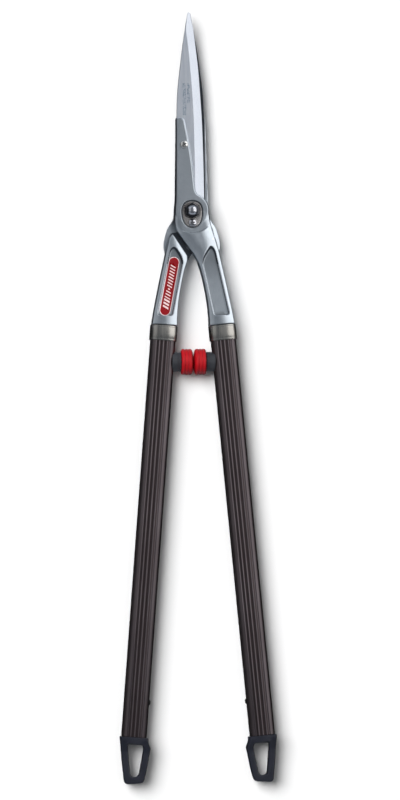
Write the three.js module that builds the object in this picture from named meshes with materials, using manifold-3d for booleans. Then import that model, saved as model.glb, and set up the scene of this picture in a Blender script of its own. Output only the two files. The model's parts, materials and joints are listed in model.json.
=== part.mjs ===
// Long-handled hedge shears, closed and lying flat, in millimetres with +Z up.
// The blades point along +Y, the pivot axis is parallel to Z, and the origin is the bottom centre
// of the whole tool. Both halves share one design. It is drawn in a half frame, with the pivot
// at its origin, the plane where the blades meet at z = 0, the tool's outside at +z and the handle
// on the +x side. The upper half stands as drawn, and the lower one is turned half a turn about Y.

import * as THREE from 'three';
import { mergeVertices } from 'three/addons/utils/BufferGeometryUtils.js';
import Module from 'manifold-3d';

const wasm = await Module();
wasm.setup();

// ---- driving dimensions ----

const GAP = 0.3;                 // between pieces that touch
const FACE_Z = 0.2;              // from the plane of the cut to the inner face of a half
const ROUND = 24;                // sides of a round piece

const BLADE_THICK = 3.2;
const EDGE_THICK = 0.4;
const BEVEL_SLOPE = 0.33;
const HEEL_R = 14;               // round heel of the blade, about the pivot
// the blade from heel to tip: y, then x of its spine, of the start of its bevel and of its edge
const BLADE_STATIONS = [
  [8, -12.6, 3.7, 12.6],
  [34, -12.9, 3.7, 12.4],
  [62, -13.2, 3.5, 12],
  [91, -13.4, 3.1, 11.2],
  [116, -12.4, 2, 9.8],
  [140, -9.7, 0.3, 8.2],
  [160, -7.1, -1.3, 6.1],
  [177, -4.4, -3.2, 4.2],
  [187, -2.7, -2.3, 2.4],
  [193.4, -1.5, -1.3, 1],
];

const PLATEAU_Z = 8.6;           // outer face of the arm and the boss
const ARM_TIP_Y = 91;
const ARM_TIP_Z = 6.6;
const ARM_TAPER_Y = 22;          // where the arm starts to thin towards its tip
const NECK_Z = 10;               // outer faces of the neck
const FLANGE_Z = 4.5;
const BOSS_R = 17.2;
const SPOTFACE_R = 21.7;         // flat round the pivot, cut into the neck
const POCKET_FLOOR_Z = 6.4;      // floor of the oval pocket for the nut, or for the bolt's head
const PANEL_DEPTH = 3.2;         // of the long panels sunk into the neck

const BLADE_SCREW = { x: -6.9, y: 64.5, r: 2, headR: 4, headHigh: 2.4 };
const LOCK_SCREW = { x: 0.3, y: -11.8, r: 1.8, headR: 3.9, headHigh: 2.2 };
const SHANK_R = 6;
const BUSH_OUTER_R = 7.5;
const BUSH_INNER_R = 6.08;
const SQUARE = 8.4;              // across the flats of the bolt's square neck
const THREAD_R = 4;
const NUT_FLATS = 13;
const NUT_HEX_Z = 12;            // top of the nut's hexagon
const NUT_TOP_Z = 15.6;
const BOLT_HEAD_R = 8.5;
const BOLT_HEAD_Z = 10.3;        // outer face of the bolt's head, on the lower half
const WASHER_R = 11;
const WASHER_THICK = 0.7;

const SPLAY = THREE.MathUtils.degToRad(4.9);  // of each handle from the tool's midline
const SOCKET = { x: 28.2, y: -111 };          // middle of the neck's end, where the handle starts
const TUBE_LONG = 399;
const SECTION_FLAT = 7.4;        // half width of the tube's flat faces
const TUBE_SIDE = { x: 4.9, z: 9.5 };         // half axes of its elliptical sides
const TUBE_WALL = 1.8;
const FLUTE = { pitch: 3.9, wide: 2.4, deep: 0.7, count: 4 };
const COLLAR_LONG = 15;
const COLLAR_WALL = 1;
const COLLAR_LIP = 1.2;          // turned in over the tube's end
const TANG_LONG = 52;

const CAP_FLANGE_LONG = 6;
const CAP_PLUG_LONG = 44;
const LOOP_Z = 6;                // half thickness of the hanging loop
const CAP_SCREW = { up: 34, r: 1.5, headR: 2.6, headHigh: 1.4 };

const BUMPER_Y = -146.5;
const PAD = { r: 12.5, thick: 11.6, crown: 1.1, gap: 0.2, grooves: 2, grooveDeep: 0.5 };
const STEM = { r: 9.7, boreR: 3.4 };
const STUD = { r: 3, plateR: 7, plateThick: 1.5, deep: 15 };

const LABEL = { from: [17.8, -48.6], to: [27.2, -96], r: 4.9, thick: 0.6 };

// ---- materials ----

function metal(colour, roughness) {
  return new THREE.MeshStandardMaterial({ color: colour, roughness, metalness: 1 });
}

function plain(colour, roughness) {
  return new THREE.MeshStandardMaterial({ color: colour, roughness, metalness: 0 });
}

const MATERIALS = {
  castAluminium: metal(0xaeb4bb, 0.42),
  bladeSteel: metal(0xc9d0d8, 0.28),
  anodisedTube: metal(0x4d4446, 0.45),
  collarSteel: metal(0x8d8574, 0.38),
  brightSteel: metal(0xb9b6b0, 0.25),
  blackSteel: metal(0x1c1c1c, 0.4),
  bronze: metal(0xa87b45, 0.4),
  redRubber: plain(0xc0141b, 0.5),
  darkPlastic: plain(0x24262d, 0.55),
  redLabel: plain(0xa5121c, 0.4),
};

// ---- solids ----

function solidOf(geometry) {
  const bare = geometry.clone();
  bare.deleteAttribute('normal');
  bare.deleteAttribute('uv');
  const merged = mergeVertices(bare);
  return new wasm.Manifold(new wasm.Mesh({
    numProp: 3,
    vertProperties: new Float32Array(merged.attributes.position.array),
    triVerts: new Uint32Array(merged.index.array),
  }));
}

function geometryOf(solid) {
  const mesh = solid.getMesh();
  const geometry = new THREE.BufferGeometry();
  geometry.setAttribute('position', new THREE.BufferAttribute(mesh.vertProperties, 3));
  geometry.setIndex(new THREE.BufferAttribute(mesh.triVerts, 1));
  geometry.computeVertexNormals();
  return geometry;
}

// A prism of a plan outline, from one height to another.
function prism(shape, fromZ, toZ, curveSegments = 3) {
  const geometry = new THREE.ExtrudeGeometry(shape, {
    depth: toZ - fromZ, bevelEnabled: false, curveSegments,
  });
  geometry.translate(0, 0, fromZ);
  return solidOf(geometry);
}

// A cylinder along Z about a point of the plan.
function drum(r, fromZ, toZ, x = 0, y = 0, sides = ROUND) {
  const geometry = new THREE.CylinderGeometry(r, r, toZ - fromZ, sides);
  geometry.rotateX(Math.PI / 2);
  geometry.translate(x, y, (fromZ + toZ) / 2);
  return solidOf(geometry);
}

function block(wide, long, fromZ, toZ) {
  const geometry = new THREE.BoxGeometry(wide, long, toZ - fromZ);
  geometry.translate(0, 0, (fromZ + toZ) / 2);
  return solidOf(geometry);
}

function hexagon(flats, fromZ, toZ) {
  return drum(flats / Math.sqrt(3), fromZ, toZ, 0, 0, 6);
}

// A turned piece from a profile of [radius, height] pairs, along Z.
function turned(profile, sides = ROUND) {
  const geometry = new THREE.LatheGeometry(profile.map(([r, h]) => new THREE.Vector2(r, h)), sides);
  geometry.rotateX(Math.PI / 2);
  return solidOf(geometry);
}

function placed(solid, matrix) {
  const geometry = geometryOf(solid).applyMatrix4(matrix);
  return solidOf(geometry);
}

// From drawn along Z to lying along X, with +z becoming +x.
const ALONG_X = new THREE.Matrix4().makeRotationY(Math.PI / 2);
// The handle frame: its origin in the socket, its tube running down -y.
const HANDLE = new THREE.Matrix4().makeRotationZ(SPLAY).setPosition(SOCKET.x, SOCKET.y, 0);

function inHandle(solid) {
  return placed(solid, HANDLE);
}

function acrossAt(solid, x, y) {
  return placed(solid, new THREE.Matrix4().makeTranslation(x, y, 0).multiply(ALONG_X));
}

function points(list) {
  return list.map(([x, y]) => new THREE.Vector2(x, y));
}

// ---- the handle's oval section ----

function ovalPoints(grow, sideSteps) {
  const found = [];
  for (const side of [1, -1]) {
    for (let i = 0; i <= sideSteps; i += 1) {
      const angle = Math.PI / 2 - (Math.PI * i) / sideSteps;
      found.push([
        side * (SECTION_FLAT + (TUBE_SIDE.x + grow) * Math.cos(angle)),
        side * (TUBE_SIDE.z + grow) * Math.sin(angle),
      ]);
    }
  }
  return found;
}

// The oval with flutes in both flat faces.
function flutedPoints(sideSteps) {
  const oval = ovalPoints(0, sideSteps);
  const half = oval.length / 2;
  const flutes = (side) => {
    const found = [];
    for (let i = 0; i < FLUTE.count; i += 1) {
      const x = side * (i - (FLUTE.count - 1) / 2) * FLUTE.pitch;
      const lip = side * FLUTE.wide / 2;
      const z = side * TUBE_SIDE.z;
      const floor = side * (TUBE_SIDE.z - FLUTE.deep);
      found.push([x - lip, z], [x - lip / 2, floor], [x + lip / 2, floor], [x + lip, z]);
    }
    return found;
  };
  return [...flutes(1), ...oval.slice(0, half), ...flutes(-1), ...oval.slice(half)];
}

// A length of some oval section along the handle, from one place on its axis to another.
function along(section, fromY, toY) {
  const geometry = new THREE.ExtrudeGeometry(new THREE.Shape(points(section)), {
    depth: toY - fromY, bevelEnabled: false,
  });
  geometry.rotateX(-Math.PI / 2);  // its depth now runs along +y, and the section's y along -z
  geometry.translate(0, fromY, 0);
  return solidOf(geometry);
}

// ---- the blade ----

function blade(hole) {
  const lines = [1, 2, 3].map((column) => new THREE.SplineCurve(
    points(BLADE_STATIONS.map((row) => [row[column], row[0]])),
  ).getPoints(2 * (BLADE_STATIONS.length - 1)));
  const positions = [];
  const index = [];
  const ring = 5;
  const [spine, bevel, edge] = lines;
  spine.forEach(({ x, y }, i) => {
    const high = Math.min(BLADE_THICK, EDGE_THICK + (edge[i].x - bevel[i].x) * BEVEL_SLOPE);
    positions.push(
      x, y, FACE_Z,
      edge[i].x, y, FACE_Z,
      edge[i].x, y, FACE_Z + EDGE_THICK,
      bevel[i].x, y, FACE_Z + high,
      x, y, FACE_Z + high,
    );
  });
  const last = spine.length - 1;
  for (let i = 0; i < last; i += 1) {
    for (let k = 0; k < ring; k += 1) {
      const a = i * ring + k;
      const b = i * ring + ((k + 1) % ring);
      index.push(a, a + ring, b, b, a + ring, b + ring);
    }
  }
  for (let k = 1; k < ring - 1; k += 1) {
    index.push(0, k, k + 1);
    index.push(last * ring, last * ring + k + 1, last * ring + k);
  }
  const geometry = new THREE.BufferGeometry();
  geometry.setAttribute('position', new THREE.Float32BufferAttribute(positions, 3));
  geometry.setIndex(index);
  const top = FACE_Z + BLADE_THICK;
  const recess = drum(WASHER_R + GAP, 0, WASHER_THICK / 2 + GAP);
  return solidOf(geometry)
    .add(drum(HEEL_R, FACE_Z, top))
    .subtract(recess)
    .subtract(hole)
    .subtract(drum(BLADE_SCREW.r + GAP, 0, top + 1, BLADE_SCREW.x, BLADE_SCREW.y));
}

// ---- the cast holder: arm, boss, neck and tang ----

function armShape() {
  const shape = new THREE.Shape();
  shape.moveTo(-13.2, ARM_TIP_Y);
  shape.quadraticCurveTo(-14.4, ARM_TIP_Y, -14.4, ARM_TIP_Y - 2);
  shape.splineThru(points([[-15.3, 45], [-16.3, 14], [-16.8, 3]]));
  shape.lineTo(0, -10);
  shape.lineTo(16.6, 4);
  shape.splineThru(points([[12.6, 8.6], [7.4, 13], [4.4, 18], [3, 26], [1.2, 44], [-2, 70], [-5.2, 88]]));
  shape.quadraticCurveTo(-6, ARM_TIP_Y, -8, ARM_TIP_Y);
  return shape;
}

// The inner side of the neck runs from the crotch to the socket.
const NECK_INNER = [[5, -50], [8.2, -60], [11.3, -74], [13.7, -89], [14.9, -101]];
const NECK_OUTER = [[38.8, -99], [36.4, -87], [33.4, -72.5], [30.1, -57.5], [26.2, -40]];
const NECK_END = 12.9;           // half width of the neck at the socket

function socketCorner(side) {
  return [
    SOCKET.x + side * NECK_END * Math.cos(SPLAY),
    SOCKET.y + side * NECK_END * Math.sin(SPLAY),
  ];
}

function neckShape(start, end) {
  const shape = new THREE.Shape(points(start));
  shape.splineThru(points([...NECK_INNER, socketCorner(-1)]));
  shape.lineTo(...socketCorner(1));
  shape.splineThru(points(NECK_OUTER));
  end.forEach(([x, y]) => shape.lineTo(x, y));
  return shape;
}

function flangeShape() {
  const shape = new THREE.Shape();
  shape.moveTo(14, 0);
  shape.lineTo(16.9, 0);
  shape.splineThru(points([[17.8, -7], [20.2, -11.5], [23.2, -16], [25.5, -22.5]]));
  shape.splineThru(points([[27.2, -30], [27.4, -35.5], [26.4, -40.6]]));
  shape.lineTo(22, -38);
  return shape;
}

function panelShape() {
  const shape = new THREE.Shape();
  shape.moveTo(21.9, -40);
  shape.quadraticCurveTo(18.6, -31.5, 14.6, -39.5);
  shape.quadraticCurveTo(9.2, -47, 10.4, -53);
  shape.lineTo(20, -99);
  shape.quadraticCurveTo(20.6, -102, 23.6, -102);
  shape.lineTo(31.4, -101.6);
  shape.quadraticCurveTo(35.2, -101.4, 34.5, -98);
  return shape;
}

// The oval pocket round the pivot's nut, or round the bolt's head.
function pocketShape(shrink) {
  const shape = new THREE.Shape();
  const wide = 10.3 - shrink;
  const top = 9.6 - shrink;
  const bottom = -16.4 + shrink;
  shape.moveTo(wide, -1);
  shape.bezierCurveTo(wide, top - 4, wide - 4, top, 0, top);
  shape.bezierCurveTo(-wide + 4, top, -wide, top - 4, -wide, -1);
  shape.bezierCurveTo(-wide, -10, -wide + 4, bottom, 0, bottom);
  shape.bezierCurveTo(wide - 4, bottom, wide, -10, wide, -1);
  return shape;
}

// Where the blade lies in the holder, open on the side of its edge.
function bladeSeatShape() {
  const shape = new THREE.Shape();
  shape.moveTo(-13.1, 4);
  shape.lineTo(-13.1, 34);
  shape.lineTo(-13.7, ARM_TIP_Y + 2);
  shape.lineTo(30, ARM_TIP_Y + 2);
  shape.lineTo(30, 4);
  return shape;
}

function armTaper() {
  const shape = new THREE.Shape(points([
    [ARM_TAPER_Y, PLATEAU_Z],
    [ARM_TIP_Y + 4, ARM_TIP_Z],
    [ARM_TIP_Y + 4, PLATEAU_Z + 2],
    [ARM_TAPER_Y, PLATEAU_Z + 2],
  ]));
  const geometry = new THREE.ExtrudeGeometry(shape, { depth: 60, bevelEnabled: false });
  geometry.rotateX(Math.PI / 2);
  geometry.rotateZ(Math.PI / 2);
  geometry.translate(-30, 0, 0);
  return solidOf(geometry);
}

function studHole() {
  const wide = STUD.r + 0.4;
  return acrossAt(drum(wide, 0, PAD.gap + PAD.thick + STUD.deep + 9), 1, BUMPER_Y);
}

function holder(hole) {
  const above = NECK_Z + 1;
  const spotface = drum(SPOTFACE_R, PLATEAU_Z, above, 0, 0, 48);
  const upperNeck = prism(neckShape(
    [[-16.9, 0], [-17.3, -8], [-16.8, -14.5], [-14.8, -20.5], [0, -41]],
    [[22.8, -28], [19.8, -18.5], [17.4, -9], [16.9, 0]],
  ), FACE_Z, NECK_Z).subtract(spotface);
  const lowerNeck = prism(neckShape(
    [[19.6, -20.6], [4, -44.6]],
    [[22.8, -28]],
  ), -NECK_Z, FACE_Z + GAP);
  const arm = prism(armShape(), FACE_Z, PLATEAU_Z)
    .add(drum(BOSS_R, FACE_Z, PLATEAU_Z, 0, 0, 48))
    .subtract(armTaper());
  const seatTop = FACE_Z + BLADE_THICK + GAP;
  const tang = inHandle(along(ovalPoints(-TUBE_WALL - GAP, 8), -TANG_LONG, 8));
  return arm
    .add(upperNeck)
    .add(lowerNeck)
    .add(prism(flangeShape(), FACE_Z, FLANGE_Z))
    .add(tang)
    .subtract(prism(bladeSeatShape(), 0, seatTop))
    .subtract(drum(HEEL_R + GAP, 0, seatTop))
    .subtract(prism(pocketShape(0), POCKET_FLOOR_Z, above))
    .subtract(prism(panelShape(), NECK_Z - PANEL_DEPTH, above))
    .subtract(prism(panelShape(), -above, -NECK_Z + PANEL_DEPTH))
    .subtract(hole)
    .subtract(drum(BLADE_SCREW.r + GAP, 0, above, BLADE_SCREW.x, BLADE_SCREW.y))
    .subtract(drum(LOCK_SCREW.r + GAP, FACE_Z + BLADE_THICK + 2 * GAP, above, LOCK_SCREW.x, LOCK_SCREW.y))
    .subtract(studHole());
}

// ---- fasteners with a cross recess ----

// A pan head on a shank. The head's underside is at z = 0, and its shank points down.
function panScrew({ r, headR, headHigh }, shankLong) {
  const rim = headHigh * 0.45;
  const slot = headR * 1.1;
  const wide = headR * 0.26;
  return turned([
    [0, -shankLong], [r * 0.7, -shankLong], [r, -shankLong + 0.5], [r, 0],
    [headR, 0], [headR, rim], [headR * 0.72, headHigh * 0.88], [0, headHigh],
  ], 16)
    .subtract(block(slot, wide, headHigh * 0.4, headHigh + 1))
    .subtract(block(wide, slot, headHigh * 0.4, headHigh + 1));
}

function moved(solid, x, y, z) {
  return placed(solid, new THREE.Matrix4().makeTranslation(x, y, z));
}

function armTopAt(y) {
  return PLATEAU_Z + (ARM_TIP_Z - PLATEAU_Z) * (y - ARM_TAPER_Y) / (ARM_TIP_Y + 4 - ARM_TAPER_Y);
}

function bladeScrew() {
  const seat = armTopAt(BLADE_SCREW.y - BLADE_SCREW.headR) + GAP;
  return moved(panScrew(BLADE_SCREW, seat - FACE_Z - GAP), BLADE_SCREW.x, BLADE_SCREW.y, seat);
}

// ---- the pivot ----

const SQUARE_HOLE = block(SQUARE + 2 * GAP, SQUARE + 2 * GAP, -1, NECK_Z + 2);
const BUSH_HOLE = drum(BUSH_OUTER_R + GAP, -1, NECK_Z + 2);

// The pieces of the pivot are drawn in the upper half's frame, so the bolt's head is at -z.
function pivotBolt() {
  const headTop = -POCKET_FLOOR_Z - WASHER_THICK - 2 * GAP;
  const squareFrom = WASHER_THICK / 2;
  return drum(SHANK_R, headTop - 0.5, squareFrom)
    .add(drum(BOLT_HEAD_R, -BOLT_HEAD_Z, headTop))
    .add(block(SQUARE, SQUARE, squareFrom - 0.5, POCKET_FLOOR_Z).intersect(drum(SHANK_R, -1, NECK_Z)))
    .add(drum(THREAD_R, POCKET_FLOOR_Z - 0.5, NUT_HEX_Z - 1));
}

function pivotNut() {
  const seat = POCKET_FLOOR_Z + GAP;
  const corner = NUT_FLATS / Math.sqrt(3);
  const dome = turned([
    [0, seat], [corner, seat], [corner, NUT_HEX_Z - 1.4], [NUT_FLATS / 2 - 0.3, NUT_HEX_Z - 0.5],
    [5.3, NUT_HEX_Z - 0.5], [5, NUT_HEX_Z + 1.2], [3.8, NUT_TOP_Z - 1.3], [2, NUT_TOP_Z - 0.3],
    [0, NUT_TOP_Z],
  ]);
  const hex = hexagon(NUT_FLATS, seat - 1, NUT_TOP_Z + 1);
  return dome.intersect(hex).subtract(drum(THREAD_R + GAP, seat - 1, NUT_HEX_Z - 0.5));
}

function lockPlate() {
  const fromZ = POCKET_FLOOR_Z + GAP;
  return prism(pocketShape(0.7), fromZ, fromZ + 1.2)
    .subtract(hexagon(NUT_FLATS + 2 * GAP, fromZ - 1, fromZ + 2))
    .subtract(drum(LOCK_SCREW.r + GAP, fromZ - 1, fromZ + 2, LOCK_SCREW.x, LOCK_SCREW.y));
}

function lockScrew() {
  const seat = POCKET_FLOOR_Z + 1.2 + 2 * GAP;
  const shank = seat - (FACE_Z + BLADE_THICK + 3 * GAP);
  return moved(panScrew(LOCK_SCREW, shank), LOCK_SCREW.x, LOCK_SCREW.y, seat);
}

function ringWasher(outer, inner, fromZ, toZ) {
  return drum(outer, fromZ, toZ).subtract(drum(inner, fromZ - 1, toZ + 1));
}

function springWasher() {
  const top = -POCKET_FLOOR_Z - GAP;
  return ringWasher(BOLT_HEAD_R, SHANK_R + GAP, top - WASHER_THICK, top);
}

function thrustWasher() {
  return ringWasher(WASHER_R, BUSH_INNER_R, -WASHER_THICK / 2, WASHER_THICK / 2);
}

// The bush is drawn in the frame of the lower half, which it is pressed into.
function pivotBush() {
  return ringWasher(BUSH_OUTER_R, BUSH_INNER_R, WASHER_THICK / 2 + GAP, POCKET_FLOOR_Z);
}

// ---- the handle ----

function tube() {
  const bore = along(ovalPoints(-TUBE_WALL, 8), -TUBE_LONG - 1, 1);
  const body = along(flutedPoints(10), -TUBE_LONG, -COLLAR_LIP - GAP);
  return inHandle(body.subtract(bore).subtract(capScrewHole(0))).subtract(studHole());
}

function collar() {
  const bore = along(ovalPoints(GAP, 10), -COLLAR_LONG - 1, -COLLAR_LIP);
  const mouth = along(ovalPoints(-TUBE_WALL, 8), -2, 1);
  return inHandle(along(ovalPoints(COLLAR_WALL, 12), -COLLAR_LONG, -GAP).subtract(bore).subtract(mouth));
}

// The cap's outline beyond the tube, with the loop that the tool hangs from.
function capShape() {
  const shape = new THREE.Shape();
  shape.moveTo(13.3, 0);
  shape.lineTo(10.2, -22);
  shape.lineTo(6.6, -42);
  shape.quadraticCurveTo(5.9, -45.9, 2.5, -45.4);
  shape.lineTo(-9.5, -43.6);
  shape.quadraticCurveTo(-12.6, -43.2, -13, -39.5);
  shape.lineTo(-14.6, -30);
  shape.lineTo(-16.7, -10.4);
  shape.lineTo(-14.4, -5.9);
  shape.lineTo(-13.3, 0);
  return shape;
}

function loopHoleShape() {
  const shape = new THREE.Shape();
  shape.moveTo(4, -7);
  shape.quadraticCurveTo(5.6, -7, 5.3, -9.2);
  shape.lineTo(1.4, -34);
  shape.quadraticCurveTo(0.6, -38, -3, -38);
  shape.quadraticCurveTo(-7, -38, -7.7, -33.6);
  shape.lineTo(-10.2, -11);
  shape.lineTo(-8.6, -7);
  return shape;
}

function endCap() {
  const face = -TUBE_LONG - GAP;
  const plug = along(ovalPoints(-TUBE_WALL - GAP, 8), face - 2, -TUBE_LONG + CAP_PLUG_LONG);
  const outline = moved(prism(capShape(), -20, 20), 0, face, 0);
  const flange = along(ovalPoints(COLLAR_WALL, 10), face - CAP_FLANGE_LONG, face).intersect(outline);
  const open = moved(prism(loopHoleShape(), -20, 20), 0, face, 0);
  const loop = outline.intersect(placed(block(60, 200, -LOOP_Z, LOOP_Z), new THREE.Matrix4()
    .makeTranslation(0, face, 0)));
  return inHandle(plug.add(flange).add(loop).subtract(open).subtract(capScrewHole(2)));
}

// The hole for the screw that holds the cap, from beyond the tube's inner side to some depth in it.
function capScrewHole(depth) {
  const hole = drum(CAP_SCREW.r + GAP, -20, depth, 0, 0, 12);
  const place = new THREE.Matrix4().makeTranslation(0, -TUBE_LONG + CAP_SCREW.up, 0);
  return placed(hole, place.multiply(ALONG_X));
}

function capScrew() {
  const surface = SECTION_FLAT + TUBE_SIDE.x + GAP;
  const turn = new THREE.Matrix4().makeRotationY(-Math.PI / 2);
  const place = new THREE.Matrix4().makeTranslation(-surface, -TUBE_LONG + CAP_SCREW.up, 0);
  return inHandle(placed(panScrew(CAP_SCREW, 12), place.multiply(turn)));
}

// The bumper stands on the inner side of the tube, square to the tool's midline.
function bumperPad() {
  const back = PAD.gap + PAD.thick;
  const pitch = (PAD.thick - PAD.crown) / (PAD.grooves + 1);
  const face = [[0, PAD.gap], [PAD.r * 0.6, PAD.gap + PAD.crown * 0.35]];
  const profile = [...face, [PAD.r - 0.6, PAD.gap + PAD.crown]];
  for (let i = 0; i <= PAD.grooves; i += 1) {
    const from = PAD.gap + PAD.crown + i * pitch;
    profile.push([PAD.r, from + 0.5], [PAD.r, from + pitch - 0.7]);
    if (i < PAD.grooves) profile.push([PAD.r - PAD.grooveDeep, from + pitch - 0.1]);
  }
  profile.push([PAD.r - 0.6, back], [0, back]);
  const seat = drum(STUD.plateR + GAP, back - STUD.plateThick - GAP, back + 1);
  return acrossAt(turned(profile).subtract(seat), 0, BUMPER_Y);
}

function bumperStud() {
  const back = PAD.gap + PAD.thick;
  return acrossAt(drum(STUD.plateR, back - STUD.plateThick, back)
    .add(drum(STUD.r, back - 0.5, back + STUD.deep + 7)), 0, BUMPER_Y);
}

function bumperStem() {
  const from = PAD.gap + PAD.thick + GAP;
  const body = acrossAt(drum(STEM.r, from, from + 13).subtract(drum(STEM.boreR, 0, 60)), 0, BUMPER_Y);
  return body.subtract(inHandle(along(ovalPoints(GAP, 10), -TUBE_LONG, 0)));
}

// The label lies in the neck's panel on the side that faces up, which is -z in the lower half.
function label() {
  const [from, to] = [LABEL.from, LABEL.to];
  const lean = Math.atan2(to[0] - from[0], from[1] - to[1]);
  const shape = new THREE.Shape();
  shape.absarc(...from, LABEL.r, lean, lean + Math.PI, false);
  shape.absarc(...to, LABEL.r, lean + Math.PI, lean + 2 * Math.PI, false);
  const floor = -NECK_Z + PANEL_DEPTH - GAP;
  return prism(shape, floor - LABEL.thick, floor, 8);
}

// ---- the assembly ----

function piece(name, solid, material) {
  const mesh = new THREE.Mesh(geometryOf(solid), material);
  mesh.name = name;
  return mesh;
}

function half(level, side, hole) {
  const group = new THREE.Group();
  const m = MATERIALS;
  group.add(
    piece(`${level}_holder`, holder(hole), m.castAluminium),
    piece(`${level}_blade`, blade(hole), m.bladeSteel),
    piece(`${level}_blade_screw`, bladeScrew(), m.brightSteel),
    piece(`${side}_collar`, collar(), m.collarSteel),
    piece(`${side}_handle_tube`, tube(), m.anodisedTube),
    piece(`${side}_bumper_pad`, bumperPad(), m.redRubber),
    piece(`${side}_bumper_stud`, bumperStud(), m.brightSteel),
    piece(`${side}_bumper_stem`, bumperStem(), m.darkPlastic),
    piece(`${side}_end_cap`, endCap(), m.darkPlastic),
    piece(`${side}_end_cap_screw`, capScrew(), m.blackSteel),
  );
  return group;
}

const upperHalf = half('upper', 'right', SQUARE_HOLE);
upperHalf.add(
  piece('pivot_bolt', pivotBolt(), MATERIALS.brightSteel),
  piece('pivot_nut', pivotNut(), MATERIALS.brightSteel),
  piece('nut_lock_plate', lockPlate(), MATERIALS.brightSteel),
  piece('lock_plate_screw', lockScrew(), MATERIALS.brightSteel),
  piece('spring_washer', springWasher(), MATERIALS.brightSteel),
  piece('thrust_washer', thrustWasher(), MATERIALS.bronze),
);

const lowerHalf = half('lower', 'left', BUSH_HOLE);
lowerHalf.add(
  piece('pivot_bush', pivotBush(), MATERIALS.bronze),
  piece('left_label', label(), MATERIALS.redLabel),
);
lowerHalf.rotation.y = Math.PI;

const shears = new THREE.Group();
shears.add(upperHalf, lowerHalf);
const extent = new THREE.Box3().setFromObject(shears, true);
shears.position.set(0, -(extent.min.y + extent.max.y) / 2, -extent.min.z);

export default shears;
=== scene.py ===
import json
import math

import bmesh
import bpy
import numpy as np
from mathutils import Matrix, Vector


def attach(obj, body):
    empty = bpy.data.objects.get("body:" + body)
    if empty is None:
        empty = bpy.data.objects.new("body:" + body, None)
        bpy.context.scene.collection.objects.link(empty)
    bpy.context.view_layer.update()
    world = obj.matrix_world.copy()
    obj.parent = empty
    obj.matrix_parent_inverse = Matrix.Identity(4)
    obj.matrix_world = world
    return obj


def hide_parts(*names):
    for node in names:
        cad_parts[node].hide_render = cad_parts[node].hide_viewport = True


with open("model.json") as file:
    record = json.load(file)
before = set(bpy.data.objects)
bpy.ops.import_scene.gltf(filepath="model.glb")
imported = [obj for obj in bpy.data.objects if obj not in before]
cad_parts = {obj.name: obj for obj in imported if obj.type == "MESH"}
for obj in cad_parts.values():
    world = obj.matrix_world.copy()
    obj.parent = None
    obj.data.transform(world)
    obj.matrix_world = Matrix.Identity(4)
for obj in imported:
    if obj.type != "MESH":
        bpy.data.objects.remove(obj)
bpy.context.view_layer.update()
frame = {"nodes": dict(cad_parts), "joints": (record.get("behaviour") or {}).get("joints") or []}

# Hedge shears. Both halves share one design, drawn in millimetres in a half frame: the pivot is
# the origin, the blade runs along +y, z = 0 is the plane where the halves meet, and the outside
# is at +z with the handle on the +x side. The lower half is turned half a turn about y.

MM = 0.001
PIVOT = Vector(frame["joints"][0]["pos_m"])

# ---- the design's sizes, as in the frame ----

FACE_Z = 0.2
BLADE_TOP = 3.4
SEAT_TOP = 3.45
SEAT_R = 14.3
BOSS_R = 17.3
PIVOT_BORE_R = 7.7
PLATEAU_Z = 8.6
ARM_TIP_Z = 6.6
ARM_TAPER = (22, 95)
ARM_DRAFT = 0.28
NECK_Z = 10
NECK_DRAFT = 0.05
CROWN = 2.9
CROWN_WIDTH = 12.5
FLANGE_Z = 2.6
SPOTFACE_R = 21.7
PANEL_FLOOR_Z = 6.8
PANEL_RIM_Z = 8.8
PANEL_TOP_END_Y = -52
POCKET_FLOOR_Z = 6.4
SPLAY = math.radians(4.9)
SOCKET = (28.2, -111)
TUBE_LONG = 399
OVAL = (12.3, 9.5)
OVAL_POWER = 2.8
TUBE_WALL = 1.8
FLUTE_PITCH = 3.9
FLUTE_DEPTH = 0.6
BUMPER_Y = -146.5
BLADE_SCREW = (-6.9, 64.5)
LOCK_SCREW = (0.3, -11.8)
CAP_SCREW_FROM_END = 34
NUT_FLATS = 13
LOCK_PLATE_TOP = 7.9


# ---- curves of the plan ----

def smooth(points, steps=6):
    """A Catmull-Rom curve through points, without its last point."""
    p = np.array([points[0], *points, points[-1]], float)
    t = np.linspace(0, 1, steps, endpoint=False)[:, None]
    runs = []
    for a, b, c, d in zip(p, p[1:], p[2:], p[3:]):
        runs.append(0.5 * (2 * b + (c - a) * t + (2 * a - 5 * b + 4 * c - d) * t**2
                           + (3 * b - a - 3 * c + d) * t**3))
    return [tuple(q) for q in np.concatenate(runs)]


def bend(start, corner, end, steps=6):
    """A rounded corner, without its last point."""
    start, corner, end = np.array(start, float), np.array(corner, float), np.array(end, float)
    t = np.linspace(0, 1, steps, endpoint=False)[:, None]
    return [tuple(q) for q in (1 - t)**2 * start + 2 * t * (1 - t) * corner + t**2 * end]


# ---- solids as distance fields ----

def plan(outline):
    """The signed distance to a closed outline, as a function of x and y."""
    points = np.array(outline, float)

    def distance(x, y):
        x, y = np.broadcast_arrays(x, y)
        nearest = np.full(x.shape, np.inf)
        inside = np.zeros(x.shape, bool)
        for (ax, ay), (bx, by) in zip(points, np.roll(points, -1, axis=0)):
            ex, ey = bx - ax, by - ay
            px, py = x - ax, y - ay
            t = np.clip((px * ex + py * ey) / (ex * ex + ey * ey + 1e-12), 0, 1)
            nearest = np.minimum(nearest, (px - t * ex)**2 + (py - t * ey)**2)
            if ay != by:
                inside ^= ((y < ay) != (y < by)) & (px < (y - ay) * ex / ey)
        return np.where(inside, -1, 1) * np.sqrt(nearest)

    return distance


def join(a, b, r=0.0):
    """Two solids made one, with a fillet of about r where they meet."""
    if not r:
        return np.minimum(a, b)
    return np.minimum(a, b) - np.maximum(r - np.abs(a - b), 0)**2 / (4 * r)


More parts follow.
